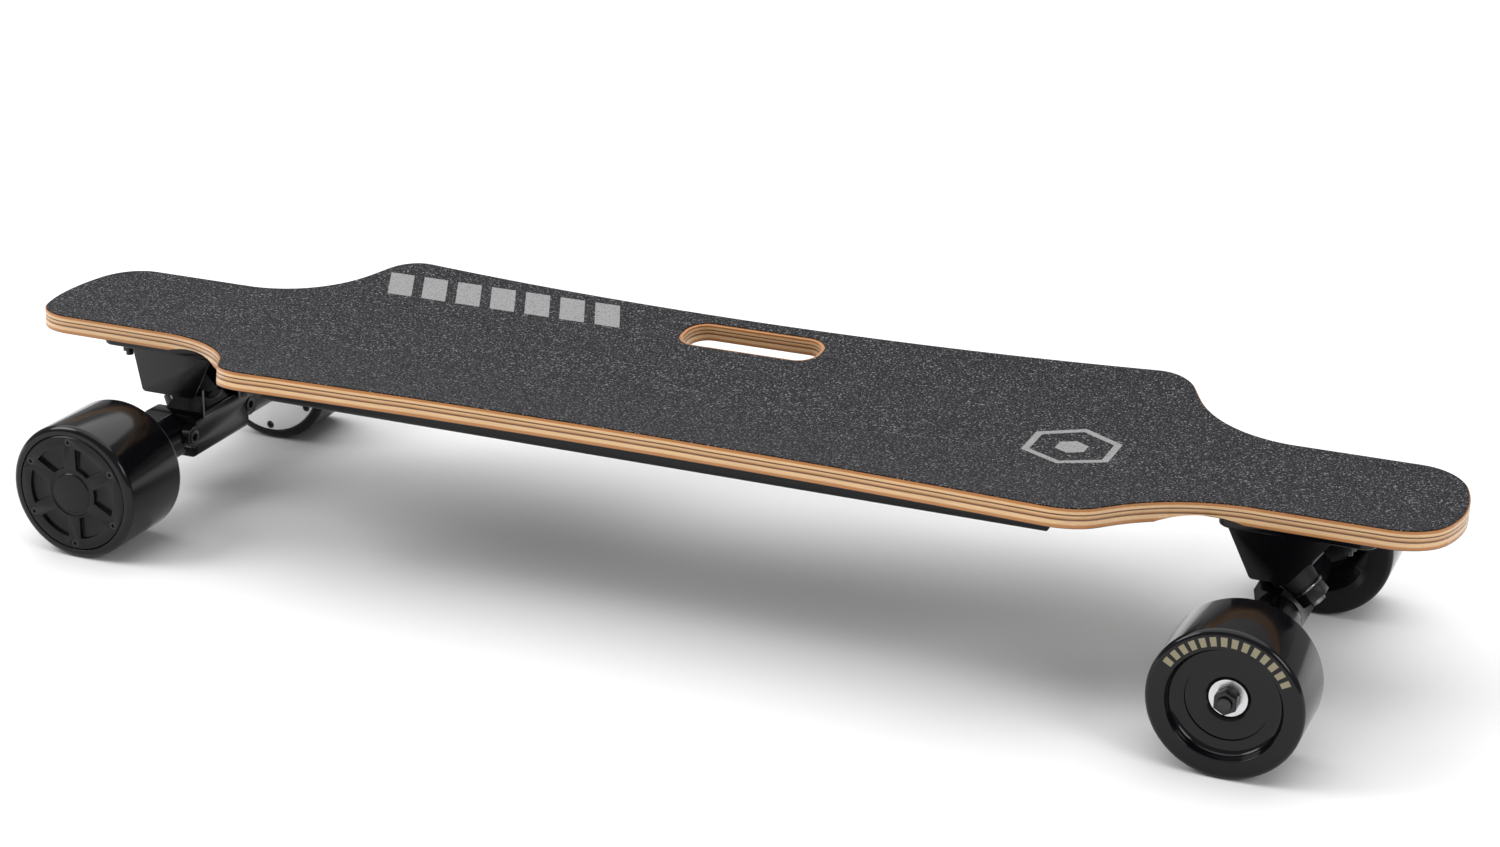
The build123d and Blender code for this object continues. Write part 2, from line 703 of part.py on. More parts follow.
def make_rear_wheels():
    inner, outer = rear_wheel_inner, rear_wheel_outer
    width = outer - inner
    can_inner = sleeve_inner_radius - can_wall
    lip = sleeve_lip
    sleeve = turned([
        (sleeve_inner_radius, 0.4), (wheel_radius - lip, 0.4), (wheel_radius - lip * 0.3,
                                                                0.4 + lip * 0.3),
        (wheel_radius, 0.4 + lip), (wheel_radius, width - 0.4 - lip),
        (wheel_radius - lip * 0.3, width - 0.4 - lip * 0.3), (wheel_radius - lip, width - 0.4),
        (sleeve_inner_radius, width - 0.4),
    ], inner)
    can = tube(at(0, inner + cover_thickness, wheel_radius, (0, 1, 0)),
               sleeve_inner_radius - 0.02, can_inner, width - 2 * cover_thickness)

    hub = motor_bearing_outer + 3
    bearing_in = cover_thickness + cover_spigot - motor_bearing_width
    bearing_out = width - cover_cap - end_bearing_width
    spigot = cover_thickness + cover_spigot
    inner_cover = turned([
        (shaft_radius + 3.0, 0), (sleeve_inner_radius - 1, 0), (sleeve_inner_radius - 0.02, 1),
        (sleeve_inner_radius - 0.02, cover_thickness), (can_inner - 0.02, cover_thickness),
        (can_inner - 0.02, cover_thickness + 1), (hub, cover_thickness + 1), (hub, spigot),
        (motor_bearing_outer + 0.02, spigot), (motor_bearing_outer + 0.02, bearing_in),
        (shaft_radius + 3.0, bearing_in),
    ], inner)
    outer_cover = turned([
        (shaft_radius, width), (hub_disc_radius, width), (hub_disc_radius + 0.8, width - 0.8),
        (hub_disc_radius + 2.6, width - 0.8), (hub_disc_radius + 3.4, width - 0.2),
        (sleeve_inner_radius - 1.2, width - 0.2), (sleeve_inner_radius - 0.02, width - 1.4),
        (sleeve_inner_radius - 0.02, width - cover_thickness),
        (can_inner - 0.02, width - cover_thickness),
        (can_inner - 0.02, width - cover_thickness - 1), (hub, width - cover_thickness - 1),
        (hub, bearing_out), (motor_bearing_outer + 0.02, bearing_out),
        (motor_bearing_outer + 0.02, width - cover_cap), (shaft_radius, width - cover_cap),
    ], inner)
    outer_cover += rod(at(0, outer - cover_cap, wheel_radius, (0, 1, 0)), shaft_radius, cover_cap)
    sector = 360 / pocket_count
    ring = tube(at(0, outer - pocket_depth, wheel_radius, (0, 1, 0)), pocket_outer,
                pocket_inner, pocket_depth + 1)
    for i in range(pocket_count):
        bar = slab(-spoke_width / 2, spoke_width / 2, outer - 10, outer + 10, wheel_radius,
                   wheel_radius + 60)
        ring -= bar.rotate(Axis((0, 0, wheel_radius), (0, 1, 0)), i * sector)
    outer_cover -= ring

    screws, holes_out, holes_in = [], [], []
    for face, out, holes in ((outer - 0.2, -1, holes_out), (inner, 1, holes_in)):
        place = at(0, face, wheel_radius + cover_screw_ring, (0, out, 0))
        bite = cover_thickness - 0.8
        hole = rod(place, cover_screw_radius + 0.05, bite)
        hole += rod(place, cover_screw_head + 0.1, 1.7)
        screw = rod(place, cover_screw_radius, bite - 0.2)
        screw += rod(place, cover_screw_head, 1.6)
        screw -= hexagon(place, 2.4, 1.0)
        holes += around(pocket_count, hole, 0)
        screws += around(pocket_count, screw, 0)
    for hole in holes_out:
        outer_cover -= hole
    for hole in holes_in:
        inner_cover -= hole

    arc = 360 / magnet_count
    block = tube(at(0, inner + cover_thickness + 4, wheel_radius, (0, 1, 0)),
                 can_inner - 0.05, can_inner - magnet_thickness, width - 2 * cover_thickness - 8)
    wedge = extrude(Plane.XZ * make_face(Polyline(
        (0, 0), (60 * cos(radians(arc * 0.45)), -60 * sin(radians(arc * 0.45))),
        (60 * cos(radians(arc * 0.45)), 60 * sin(radians(arc * 0.45))), close=True)), -200)
    magnet = block & (Pos(0, 0, wheel_radius) * wedge)
    magnets = around(magnet_count, magnet, 0)

    races, outers = [], []
    for start, size in ((bearing_in, motor_bearing_width), (bearing_out, end_bearing_width)):
        place = at(0, inner + start, wheel_radius, (0, 1, 0))
        races.append(tube(place, motor_bearing_race, shaft_radius + 0.02, size))
        outers.append(tube(place, motor_bearing_outer, motor_bearing_race + running_gap, size))
    keep("motor_inner_races", *[rear_place(r) for r in races],
         *[rear_place(mirrored(r)) for r in races])
    groups = {
        "tyre": [sleeve], "rotor_can": [can], "magnets": magnets, "inner_cover": [inner_cover],
        "outer_cover": [outer_cover], "cover_screws": screws, "bearings": outers,
    }
    for side, flip in (("right", False), ("left", True)):
        for part, shapes in groups.items():
            placed = [rear_place(mirrored(s) if flip else s) for s in shapes]
            keep(f"rear_{side}_{part}", *placed)


# ---------------------------------------------------------------- electronics tray


def tray_block(shrink, top):
    """Trapezoid body of the tray, reduced on every side by an amount."""
    height = top - tray_bottom
    lean = tray_end_slant / (deck_underside - tray_bottom)
    low = tray_bottom + shrink
    rear = tray_rear + shrink
    front = tray_front - shrink
    outline = [(rear, low), (front, low), (front + lean * (height - shrink), top),
               (rear - lean * (height - shrink), top)]
    return side_profile(outline, tray_half_width - shrink)


def make_tray():
    top = deck_underside + 12
    body = tray_block(0, top)
    body = fillet(body.edges().filter_by(GeomType.LINE).group_by(Axis.Z)[0], tray_edge_round)
    under_flange = underside_radius + gasket_thickness + tray_flange_thickness
    cavity = tray_block(tray_wall, top)
    end_top = tray_end_slant + tray_flange_end
    length = tray_front - tray_rear + 2 * end_top
    rim = Pos((tray_front + tray_rear) / 2, 0) * RectangleRounded(
        length, 2 * tray_flange_reach, 10)
    shell = concave_shell(under_flange, underside_radius + gasket_thickness)
    core = concave_shell(underside_radius + gasket_thickness, 1)
    flange = upright(rim) & shell
    tray = (body - core - cavity) + (flange - cavity)
    gasket = (upright(rim) & concave_shell(underside_radius + gasket_thickness,
                                           underside_radius)) - cavity
    screws = []
    for x, y in tray_screw_places():
        seat = underside_at(y) - gasket_thickness - tray_flange_thickness - 0.4
        hole = rod(at(x, y, seat - 3), tray_screw_radius + 0.05, 30)
        spot = rod(at(x, y, seat - 3), tray_screw_head + 0.1, 3.2)
        tray = tray - hole - spot
        gasket -= hole
        screw = rod(at(x, y, seat + 0.2 - 1.8), tray_screw_head, 1.8)
        screw += rod(at(x, y, seat + 0.2), tray_screw_radius,
                     underside_at(y) + tray_screw_bite - seat - 0.2)
        screw -= hexagon(at(x, y, seat + 0.2 - 1.8), 2.0, 1.0)
        screws.append(screw)

    wall = tray_half_width
    for x, radius in ((button_x, button_radius + 1.5), (socket_x, socket_barrel)):
        tray -= rod(at(x, wall - 6, side_fitting_z, (0, 1, 0)), radius + 0.05, 10)

    bezel_place = at(button_x, wall, side_fitting_z, (0, 1, 0))
    bezel = rod(bezel_place, bezel_radius, bezel_proud)
    bezel += rod(at(button_x, wall - 5, side_fitting_z, (0, 1, 0)), button_radius + 1.5, 5)
    bezel -= rod(at(button_x, wall - 6, side_fitting_z, (0, 1, 0)),
                 button_radius + running_gap, 20)
    start = wall + button_proud - button_length
    button = rod(at(button_x, start, side_fitting_z, (0, 1, 0)), button_radius, button_length)
    button = fillet(button.edges().sort_by(Axis.Y)[-1], 0.8)
    keep("button_bezel", bezel)
    keep("power_button", button)

    socket = rod(at(socket_x, wall, side_fitting_z, (0, 1, 0)), socket_flange, 1.5)
    socket += rod(at(socket_x, wall - socket_depth - 2, side_fitting_z, (0, 1, 0)),
                  socket_barrel, socket_depth + 2)
    socket -= rod(at(socket_x, wall + 1.5 - socket_depth, side_fitting_z, (0, 1, 0)),
                  socket_bore, socket_depth)
    keep("charge_socket", socket)

    lean = Vector(-(deck_underside - tray_bottom), 0, -tray_end_slant).normalized()
    glands = []
    for y in (-gland_y, gland_y):
        mid = 0.5
        point = Vector(tray_rear - tray_end_slant * mid, y,
                       tray_bottom + (deck_underside - tray_bottom) * mid)
        tray -= rod(Plane(origin=point - lean * 6, z_dir=lean), gland_radius - 2 + 0.05, 12)
        body_part = rod(Plane(origin=point - lean * 5, z_dir=lean), gland_radius - 2, 11)
        body_part += hexagon(Plane(origin=point, z_dir=lean), 2 * gland_radius - 1, 5)
        body_part += rod(Plane(origin=point, z_dir=lean), gland_radius - 1, 9)
        body_part -= rod(Plane(origin=point - lean * 8, z_dir=lean), gland_bore, 24)
        glands.append(body_part)
    keep("cable_glands", *glands)
    keep("battery_enclosure", tray)
    keep("enclosure_gasket", gasket)
    keep("enclosure_screws", *screws)


def make_electronics():
    floor = tray_bottom + tray_wall
    pitch = 2 * cell_radius + cell_gap
    end = cell_start + cell_count * pitch
    cell_z = floor + foam_thickness + cell_radius
    keep("battery_foam", slab(cell_start, end, -40, 40, floor, floor + foam_thickness))
    cells = []
    for i in range(cell_count):
        x = cell_start + (i + 0.5) * pitch
        cell = rod(at(x, -cell_length / 2, cell_z, (0, 1, 0)), cell_radius, cell_length)
        cells.append(cell)
    keep("battery_cells", *cells)
    holders = []
    for side in (-1, 1):
        y0, y1 = sorted((side * (cell_length / 2 - 6), side * (cell_length / 2 + 2)))
        holder = slab(cell_start, end, y0, y1, floor + foam_thickness, cell_z + 2)
        for i in range(cell_count):
            x = cell_start + (i + 0.5) * pitch
            holder -= rod(at(x, -cell_length / 2 - 0.05, cell_z, (0, 1, 0)),
                          cell_radius + 0.05, cell_length + 0.1)
        holders.append(holder)
    keep("cell_holders", *holders)

    bms_x = cell_start - 34
    bms = slab(bms_x - 22, bms_x + 22, -36, 36, floor + 4, floor + 4 + board_thickness)
    for dx in (-12, 0, 12):
        bms += slab(bms_x + dx - 4, bms_x + dx + 4, -20, 20, floor + 4 + board_thickness,
                    floor + 8)
    for x in (bms_x - 19, bms_x + 19):
        for y in (-33, 33):
            bms += rod(at(x, y, floor), 2.5, 4)
    keep("bms_board", bms)

    drive_x = bms_x - 66
    drive = slab(drive_x - 36, drive_x + 36, -40, 40, floor, floor + 6)
    for i in range(12):
        x = drive_x - 33 + i * 6
        drive += slab(x - 1.2, x + 1.2, -40, 40, floor + 6, floor + 15)
    keep("motor_controller", drive)


make_deck()
make_truck_board_side()
make_front_hanger()
make_rear_hanger()
make_front_wheels()
make_stators()
make_rear_wheels()
make_tray()
make_electronics()

os.makedirs("parts", exist_ok=True)
for name, solids in nodes.items():
    shape = solids[0] if len(solids) == 1 else Compound(solids)
    export_step(shape, f"parts/{name}.step")
print(len(nodes), "nodes")
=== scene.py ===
"""Electric skateboard in its studio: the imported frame, finished piece by piece."""

import json
import math

import bpy
from mathutils import Matrix, Vector

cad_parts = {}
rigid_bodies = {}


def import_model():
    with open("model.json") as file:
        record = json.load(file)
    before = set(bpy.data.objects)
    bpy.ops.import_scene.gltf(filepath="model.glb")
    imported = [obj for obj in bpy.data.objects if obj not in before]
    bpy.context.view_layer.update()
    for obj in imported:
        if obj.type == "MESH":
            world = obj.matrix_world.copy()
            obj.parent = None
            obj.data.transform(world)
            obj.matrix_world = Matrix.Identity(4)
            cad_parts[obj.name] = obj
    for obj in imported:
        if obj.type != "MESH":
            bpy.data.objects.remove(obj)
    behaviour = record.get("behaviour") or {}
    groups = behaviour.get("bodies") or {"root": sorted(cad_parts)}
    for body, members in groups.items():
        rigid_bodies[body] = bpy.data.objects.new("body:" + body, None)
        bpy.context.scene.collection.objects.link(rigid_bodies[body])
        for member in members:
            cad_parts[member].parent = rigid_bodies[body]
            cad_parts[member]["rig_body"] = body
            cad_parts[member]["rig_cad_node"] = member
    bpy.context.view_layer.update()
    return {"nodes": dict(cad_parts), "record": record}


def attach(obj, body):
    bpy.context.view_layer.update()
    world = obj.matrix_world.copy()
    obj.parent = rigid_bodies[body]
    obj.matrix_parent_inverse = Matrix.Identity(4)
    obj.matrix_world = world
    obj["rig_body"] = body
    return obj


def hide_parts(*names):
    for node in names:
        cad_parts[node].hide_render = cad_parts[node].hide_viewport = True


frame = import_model()
NODES = frame["nodes"]


# ---------------------------------------------------------------- shader maths
# Every finish below is an expression on these values; each operator adds its Math node.


class Value:
    """A number, colour or vector inside one material."""

    def __init__(self, finish, socket):
        self.finish = finish
        self.socket = socket

    def math(self, operation, *others):
        return self.finish.node("ShaderNodeMath", {"operation": operation}, self, *others)

    def __add__(self, other):
        return self.math("ADD", other)

    def __sub__(self, other):
        return self.math("SUBTRACT", other)

    def __mul__(self, other):
        return self.math("MULTIPLY", other)

    def __abs__(self):
        return self.math("ABSOLUTE")

    def __gt__(self, other):
        return self.math("GREATER_THAN", other)

    def __lt__(self, other):
        return self.math("LESS_THAN", other)

    def __mod__(self, other):
        return self.math("FLOORED_MODULO", other)


class Finish:
    """One node material: made by name, then filled by expressions."""

    def __init__(self, name, **sockets):
        self.material = bpy.data.materials.new(name)
        self.material.use_nodes = True
        self.tree = self.material.node_tree
        self.shader = self.tree.nodes["Principled BSDF"]
        for key, value in sockets.items():
            self.set(key.replace("_", " ").title().replace("Ior", "IOR"), value)
        self.place = self.node("ShaderNodeTexCoord", {}, out="Object")

    def node(self, kind, settings, *inputs, out=0, **named):
        """Add a node; settings first, then the values or links of its sockets."""
        node = self.tree.nodes.new(kind)
        for key, value in settings.items():
            if key == "stops":
                ramp = node.color_ramp
                while len(ramp.elements) < len(value):
                    ramp.elements.new(1.0)
                for stop, (at, colour) in zip(ramp.elements, value):
                    stop.position = at
                    stop.color = (*colour, 1)
            else:
                setattr(node, key, value)
        for socket, value in list(zip(node.inputs, inputs)) + [
            (node.inputs[k.replace("_", " ")], v) for k, v in named.items()
        ]:
            self.join(value, socket)
        return Value(self, node.outputs[out])

    def join(self, value, socket):
        if isinstance(value, Value):
            self.tree.links.new(value.socket, socket)
        else:
            socket.default_value = value

    def set(self, name, value):
        if isinstance(value, tuple) and len(value) == 3:
            value = (*value, 1)
        self.join(value, self.shader.inputs[name])

    def axis(self, letter):
        return self.node("ShaderNodeSeparateXYZ", {}, self.place, out="XYZ".index(letter))

    def stretch(self, x, y, z):
        return self.node("ShaderNodeVectorMath", {"operation": "MULTIPLY"}, self.place, (x, y, z))

    def noise(self, scale, detail=2.0, vector=None):
        return self.node("ShaderNodeTexNoise", {}, Vector=vector or self.place, Scale=scale,
                         Detail=detail)

    def range(self, value, low, high, to_low=0.0, to_high=1.0):
        return self.node("ShaderNodeMapRange", {"clamp": True}, value, low, high, to_low, to_high)

    def blend(self, mask, first, second):
        """Colour that goes from first to second as the mask rises."""
        mix = self.tree.nodes.new("ShaderNodeMix")
        mix.data_type = "RGBA"
        for slot, value in ((0, mask), (6, first), (7, second)):
            if isinstance(value, tuple) and len(value) == 3:
                value = (*value, 1)
            self.join(value, mix.inputs[slot])
        return Value(self, mix.outputs[2])

    def bump(self, height, strength, distance):
        self.set("Normal", self.node("ShaderNodeBump", {}, Height=height, Strength=strength,
                                     Distance=distance))

    def cover(self, *objects):
        for obj in objects:
            obj.data.materials.clear()
            obj.data.materials.append(self.material)


def finish_node(name, finish):
    finish.cover(NODES[name])


# ---------------------------------------------------------------- deck
# Seven maple plies pressed to a concave, sawn to outline and sanded round at the edges.
# A carrying slot is routed through; shallow wells under the shoulders clear the wheels.
# The bottom veneer is stained dark, and the edges show the plies and their glue lines.

MM = 0.001
CONCAVE_AXIS = 124.1 + 634.0
GRIP_TOP, WOOD_TOP, WOOD_UNDER = 634.0, 634.8, 646.0
HALF_WAIST, HALF_LENGTH = 110.25, 475.0
SLOT_MIDDLE = Vector((-2.0, 82.3))
SLOT_LENGTH, SLOT_WIDTH, SLOT_CORNER = 94.0, 30.0, 13.0
HALF_CUT_REACH = 125.0


def walk(start, heading, steps, spacing=3.0):
    """Points along straight runs (length, 0) and arcs (radius, turn in degrees)."""
    points = [Vector(start)]
    for size, bend in steps:
        turn = math.radians(bend)
        count = 1 if bend == 0 else max(3, math.ceil(abs(turn) * size / spacing))
        stride = size if bend == 0 else 2 * size * math.sin(abs(turn) / count / 2)
        for _ in range(count):
            heading += turn / count / 2
            points.append(points[-1] + Vector((math.cos(heading), math.sin(heading))) * stride)
            heading += turn / count / 2
    return points


def deck_outline(inset=0.0):
    """Waist to nose tip in one quarter, carried round the other three."""
    quarter = walk((0, HALF_WAIST - inset), 0, [
        (2587.0 + inset, 5.75), (28.1 - inset, -67.85), (12.9, 0), (81.2 + inset, 62.1)])
    quarter[-1].y = 53.9 - inset
    nose = walk((HALF_LENGTH - 36.7, 53.9 - inset), 0, [
        (33.1 - inset, -70.9), (96.8 - inset, -19.1)], 2.0)
    nose[-1].y = 0
    quarter += nose
    top = quarter + [Vector((p.x, -p.y)) for p in reversed(quarter[:-1])]
    return top + [Vector((-p.x, p.y)) for p in reversed(top[1:-1])]


def slot_outline(grow=0.0):
    length, width, corner = SLOT_LENGTH / 2 + grow, SLOT_WIDTH / 2 + grow, SLOT_CORNER + grow
    straight_x, straight_y = 2 * (length - corner), 2 * (width - corner)
    run = [(straight_x, 0), (corner, -90), (straight_y, 0), (corner, -90)] * 2
    points = walk((-straight_x / 2, width), 0, run, 1.5)[:-1]
    return [p + SLOT_MIDDLE for p in points]


def ring_of(points):
    """A circle primitive whose points are set out along an outline."""
    bpy.ops.object.select_all(action="DESELECT")
    bpy.ops.mesh.primitive_circle_add(vertices=len(points))
    ring = bpy.context.object
    for vertex, point in zip(ring.data.vertices, points):
        vertex.co = (point.x * MM, point.y * MM, 0)
    return ring


def modifier(obj, kind, **settings):
    """Add a modifier and apply it."""
    bpy.ops.object.select_all(action="DESELECT")
    obj.select_set(True)
    bpy.context.view_layer.objects.active = obj
    added = obj.modifiers.new(kind.lower(), kind)
    for key, value in settings.items():
        setattr(added, key, value)
    bpy.ops.object.modifier_apply(modifier=added.name)


def smooth(obj, angle=35):
    bpy.ops.object.select_all(action="DESELECT")
    obj.select_set(True)
    bpy.context.view_layer.objects.active = obj
    bpy.ops.object.shade_smooth_by_angle(angle=math.radians(angle))


def pressed_sheet(name, outline, hole, radius, strip=4.0):
    """Flat outline with a hole, cut in strips and bent to the concave at a radius."""
    outer = ring_of(outline)
    ring_of(hole)
    outer.select_set(True)
    bpy.context.view_layer.objects.active = outer
    bpy.ops.object.join()
    outer.name = name
    bpy.ops.object.mode_set(mode="EDIT")
    bpy.ops.mesh.select_all(action="SELECT")
    bpy.ops.mesh.fill()
    cuts = int(HALF_CUT_REACH / strip)
    for i in range(-cuts, cuts + 1):
        bpy.ops.mesh.select_all(action="SELECT")
        bpy.ops.mesh.bisect(plane_co=(0, i * strip * MM, 0), plane_no=(0, 1, 0))
    bpy.ops.mesh.select_all(action="SELECT")
    bpy.ops.mesh.remove_doubles(threshold=0.00001)
    bpy.ops.mesh.normals_make_consistent(inside=False)
    bpy.ops.object.mode_set(mode="OBJECT")
    for vertex in outer.data.vertices:
        across = vertex.co.y / MM
        vertex.co.z = (CONCAVE_AXIS - math.sqrt(radius**2 - across**2)) * MM
    if outer.data.polygons[0].normal.z < 0:
        outer.data.flip_normals()
    return outer


deck = pressed_sheet("maple_deck", deck_outline(), slot_outline(), WOOD_TOP)
modifier(deck, "SOLIDIFY", thickness=(WOOD_UNDER - WOOD_TOP) * MM, offset=-1,
         use_even_offset=True)
WELL_X, WELL_RADIUS, WELL_DEPTH, WELL_INNER = 332.0, 90.0, 5.0, 48.0
for x in (-WELL_X, WELL_X):
    for y in (-WELL_INNER - 60, WELL_INNER + 60):
        under = CONCAVE_AXIS - math.sqrt(WOOD_UNDER**2 - WELL_INNER**2)
        bpy.ops.object.select_all(action="DESELECT")
        bpy.ops.mesh.primitive_cylinder_add(
            vertices=96, radius=WELL_RADIUS * MM, depth=120 * MM, rotation=(math.pi / 2, 0, 0),
            location=(x * MM, y * MM, (under + WELL_DEPTH - WELL_RADIUS) * MM))
        cutter = bpy.context.object
        modifier(deck, "BOOLEAN", operation="DIFFERENCE", object=cutter, solver="EXACT")
        bpy.data.objects.remove(cutter)
modifier(deck, "BEVEL", width=2.4 * MM, segments=4, limit_method="ANGLE",
         angle_limit=math.radians(50), use_clamp_overlap=True)
smooth(deck, 40)

maple = Finish("maple", roughness=0.42, coat_weight=0.2)
down = maple.node("ShaderNodeVectorMath", {"operation": "SUBTRACT"}, maple.place,
                  (0, 0, CONCAVE_AXIS * MM))
down = maple.node("ShaderNodeVectorMath", {"operation": "MULTIPLY"}, down, (0, 1, 1))
depth = maple.node("ShaderNodeVectorMath", {"operation": "LENGTH"}, down, out=1)
waver = (maple.noise(14, 2) - 0.5) * 0.0008
level = maple.range(depth + waver, WOOD_TOP * MM, WOOD_UNDER * MM)
CREAM, TAN, ORANGE, GLUE = (0.74, 0.49, 0.26), (0.48, 0.25, 0.10), (0.44, 0.18, 0.05), (
    0.10, 0.035, 0.012)
STAIN = (0.030, 0.022, 0.018)
plies = maple.node("ShaderNodeValToRGB", {"stops": [
    (0.0, ORANGE), (0.11, ORANGE), (0.15, CREAM), (0.25, CREAM), (0.29, GLUE), (0.33, GLUE),
    (0.37, CREAM), (0.48, TAN), (0.54, GLUE), (0.58, GLUE), (0.62, CREAM), (0.78, CREAM),
    (0.83, TAN), (0.87, ORANGE), (1.0, ORANGE)]}, level)
fibre = maple.noise(1.0, 4, maple.stretch(30, 500, 2200))
grained = maple.blend(maple.range(fibre, 0.35, 0.75, 0, 0.35), plies, (0.30, 0.13, 0.045))
underside = depth > (WOOD_UNDER - 0.3) * MM
maple.set("Base Color", maple.blend(underside, grained, STAIN))
maple.bump(fibre, 0.15, 0.0004)
maple.cover(deck)
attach(deck, "board")
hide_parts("deck")

# ---------------------------------------------------------------- grip tape
# Coarse black mineral grit on self-adhesive tape, trimmed just inside the deck's edge.
# The grains' glints are painted into the colour as pale grey specks all over it; plain bars and a
# hexagon are printed in grey.

tape = pressed_sheet("grit_tape", deck_outline(0.8), slot_outline(2.4), WOOD_TOP - 0.05)
modifier(tape, "SOLIDIFY", thickness=(WOOD_TOP - GRIP_TOP - 0.05) * MM, offset=1,
         use_even_offset=True)
modifier(tape, "BEVEL", width=0.3 * MM, segments=2, limit_method="ANGLE",
         angle_limit=math.radians(50))
smooth(tape, 40)
grip = Finish("grit", roughness=0.8, specular_ior_level=0.2)
grains = grip.noise(1150, 2.0)
# Painted glints: scattered pale grey specks in the base colour stand in for light caught by the
# grit, blended over the dark grains below.
painted_glint_mask = grip.range(grip.noise(760, 3.0), 0.57, 0.68)
tone = grip.range(grains, 0.42, 0.66)
grit = grip.blend(tone, (0.002, 0.002, 0.003), (0.046, 0.046, 0.050))
grit_with_painted_glints = grip.blend(painted_glint_mask, grit, (0.22, 0.22, 0.23))

# Printed bars: slanted blocks in a row beside the slot. Their lengths step along the board.
BAR_PITCH, BAR_FILL, BAR_SLANT = 26.0, 0.7, 0.45
BARS_FIRST, BARS_LAST, BARS_Y, BARS_HALF = -9 * BAR_PITCH, -2 * BAR_PITCH, 89.0, 15.0
along, across = grip.axis("X"), grip.axis("Y")
leaning = along + across * BAR_SLANT
in_bar = (leaning % (BAR_PITCH * MM)) < BAR_PITCH * BAR_FILL * MM
from_middle = leaning - (BARS_FIRST + BARS_LAST) / 2 * MM
in_row = abs(from_middle) < (BARS_LAST - BARS_FIRST) / 2 * MM
in_height = abs(across - BARS_Y * MM) < BARS_HALF * MM

# Printed hexagon: an outline with a smaller solid one inside it.
HEXAGON_X, HEXAGON_REACH, HEXAGON_LINE, HEXAGON_CORE = 240.0, 27.0, 4.5, 9.0
from_x, from_y = abs(along - HEXAGON_X * MM), abs(across)
hexagon = from_x.math("MAXIMUM", from_x * 0.5 + from_y * 0.866)
ring = abs(hexagon - (HEXAGON_REACH - HEXAGON_LINE / 2) * MM) < HEXAGON_LINE / 2 * MM
print_mask = in_bar * in_row * in_height + ring + (hexagon < HEXAGON_CORE * MM)
print_mask = print_mask * grip.range(grains, 0.3, 0.5, 0.35, 0.9)
grip.set("Base Color", grip.blend(print_mask, grit_with_painted_glints, (0.34, 0.34, 0.34)))
grip.bump(grains, 0.8, 0.0006)
grip.cover(tape)
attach(tape, "board")
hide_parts("grip_tape")

# ---------------------------------------------------------------- front wheels
# Cast black urethane tyres, polished by the mould, on nylon cores; each face is dished.


def filleted(corners, steps=6):
    """Closed outline of (radius, width, fillet) corners, its fillets worked out as arcs."""
    points = []
    for i, (r, w, fillet) in enumerate(corners):
        here = Vector((r, w))
        if fillet == 0:
            points.append(here)
            continue
        before = (Vector(corners[i - 1][:2]) - here).normalized()
        after = (Vector(corners[(i + 1) % len(corners)][:2]) - here).normalized()
        half = before.angle(after) / 2
        reach = fillet / math.tan(half)
        middle = here + (before + after).normalized() * fillet / math.sin(half)
        first, last = here + before * reach, here + after * reach
        for k in range(steps + 1):
            spread = first.lerp(last, k / steps) - middle
            points.append(middle + spread.normalized() * fillet)
    return points


def lathe(name, corners, x, y_start, side, segments=144):
    """Ring drawn out from a circle along its section, then stood on the axle.
    Widths run outwards from y_start on the given side."""
    section = filleted(corners)
    bpy.ops.object.select_all(action="DESELECT")
    bpy.ops.mesh.primitive_circle_add(vertices=segments, radius=section[0].x * MM,
                                      location=(0, 0, 0))
    piece = bpy.context.object
    piece.name = name
    bpy.ops.object.mode_set(mode="EDIT")
    bpy.ops.mesh.select_all(action="SELECT")
    bpy.ops.transform.translate(value=(0, 0, section[0].y * MM))
    for here, there in zip(section, section[1:]):
        bpy.ops.mesh.extrude_region_move(
            TRANSFORM_OT_translate={"value": (0, 0, (there.y - here.y) * MM)})
        scale = there.x / here.x
        bpy.ops.transform.resize(value=(scale, scale, 1), center_override=(0, 0, there.y * MM))
    bpy.ops.mesh.select_all(action="DESELECT")
    bpy.ops.mesh.select_non_manifold(extend=False)
    bpy.ops.mesh.bridge_edge_loops()
    bpy.ops.mesh.select_all(action="SELECT")
    bpy.ops.mesh.normals_make_consistent(inside=False)
    bpy.ops.object.mode_set(mode="OBJECT")
    piece.data.transform(Matrix.Rotation(-side * math.pi / 2, 4, "X"))
    piece.data.transform(Matrix.Translation((x * MM, side * y_start * MM, AXLE_HEIGHT * MM)))
    smooth(piece, 32)
    return piece


AXLE_X, AXLE_HEIGHT, WHEEL_RADIUS = 375.0, 45.0, 45.0
FRONT_INNER, FRONT_OUTER = 95.7, 146.3
PRINT_INNER, PRINT_OUTER, PRINT_ARC, TICK_TURN = 35.5, 41.0, 62.0, 9.0
BEIGE = (0.26, 0.23, 0.15)


def cast_urethane(name):
    finish = Finish(name, base_color=(0.003, 0.003, 0.004), specular_ior_level=0.28)
    finish.set("Roughness", finish.range(finish.noise(35, 2), 0.3, 0.7, 0.10, 0.15))
    return finish


